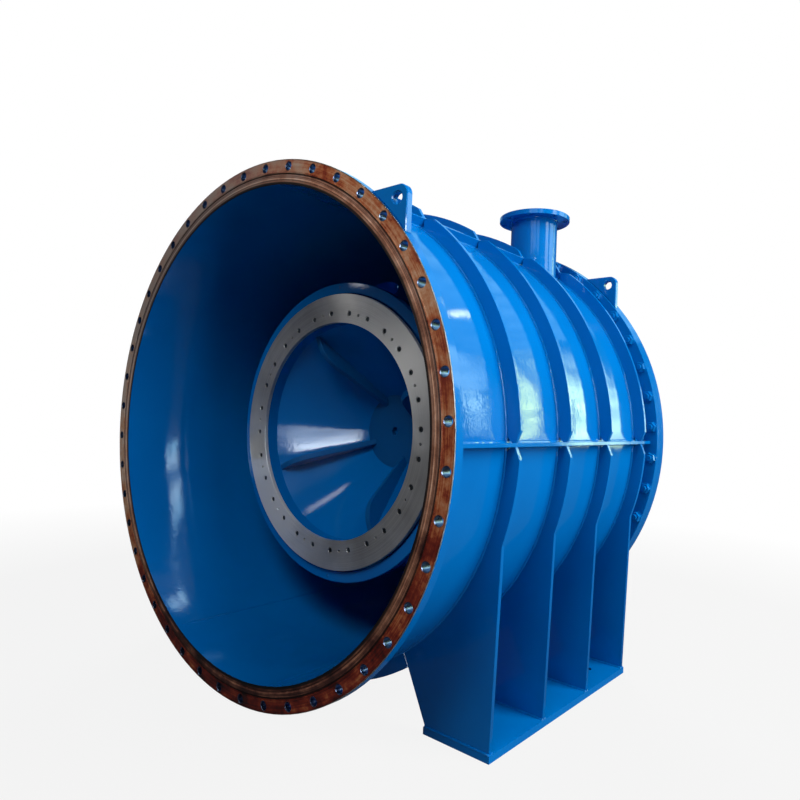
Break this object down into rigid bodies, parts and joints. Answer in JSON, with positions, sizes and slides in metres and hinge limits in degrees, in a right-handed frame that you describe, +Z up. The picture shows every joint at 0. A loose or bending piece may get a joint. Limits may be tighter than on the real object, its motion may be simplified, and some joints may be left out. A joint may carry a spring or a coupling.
{
  "type": "fixed cone valve",
  "caption": "In-line fixed cone valve: a ribbed blue discharge shell on leg plates, with a hollow cone, a stainless retaining ring and a sliding sleeve inside.",
  "frame": {"origin": "on the floor, under the valve's axis, midway between the discharge face and the inlet face", "axes": "+Y along the valve's axis from discharge to inlet, +Z up, +X to the right seen from the discharge end"},
  "size_m": [1.98, 1.761, 2.024],
  "materials": {
    "blue_paint": "gloss enamel over blasted steel",
    "rusty_steel": "machined steel face with oil and rust",
    "stainless_steel": "turned",
    "bronze": "machined bronze"
  },
  "bodies": {
    "valve": {"shell_upper": "blue_paint", "shell_lower": "blue_paint", "rear_flange": "blue_paint", "end_plate": "blue_paint", "rib_1": "blue_paint", "rib_2": "blue_paint", "rib_3": "blue_paint", "rib_4": "blue_paint", "leg_right_1": "blue_paint", "leg_right_2": "blue_paint", "leg_right_3": "blue_paint", "leg_right_4": "blue_paint", "leg_left_1": "blue_paint", "leg_left_2": "blue_paint", "leg_left_3": "blue_paint", "leg_left_4": "blue_paint", "side_bar_right": "blue_paint", "side_bar_left": "blue_paint", "upper_bar_right": "blue_paint", "upper_bar_left": "blue_paint", "base_plate_right": "blue_paint", "base_plate_left": "blue_paint", "lug_front_right": "blue_paint", "lug_rear_right": "blue_paint", "vent_pipe_right": "blue_paint", "vent_pipe_left": "blue_paint", "vent_flange_right": "blue_paint", "vent_flange_left": "blue_paint", "cone": "blue_paint", "cone_tip_plate": "blue_paint", "cone_fins": "blue_paint", "vane_1": "blue_paint", "vane_2": "blue_paint", "vane_3": "blue_paint", "vane_4": "blue_paint", "vane_hub": "blue_paint", "body_tube": "blue_paint", "discharge_flange": "rusty_steel", "inlet_flange": "blue_paint", "retaining_ring": "stainless_steel", "sleeve_guides": "bronze"},
    "sleeve": {"sleeve": "blue_paint"}
  },
  "joints": [
    {"name": "sleeve_slide", "type": "slide", "parent": "valve", "child": "sleeve", "axis": [0, 1, 0], "range_m": [0, 0.45]}
  ]
}
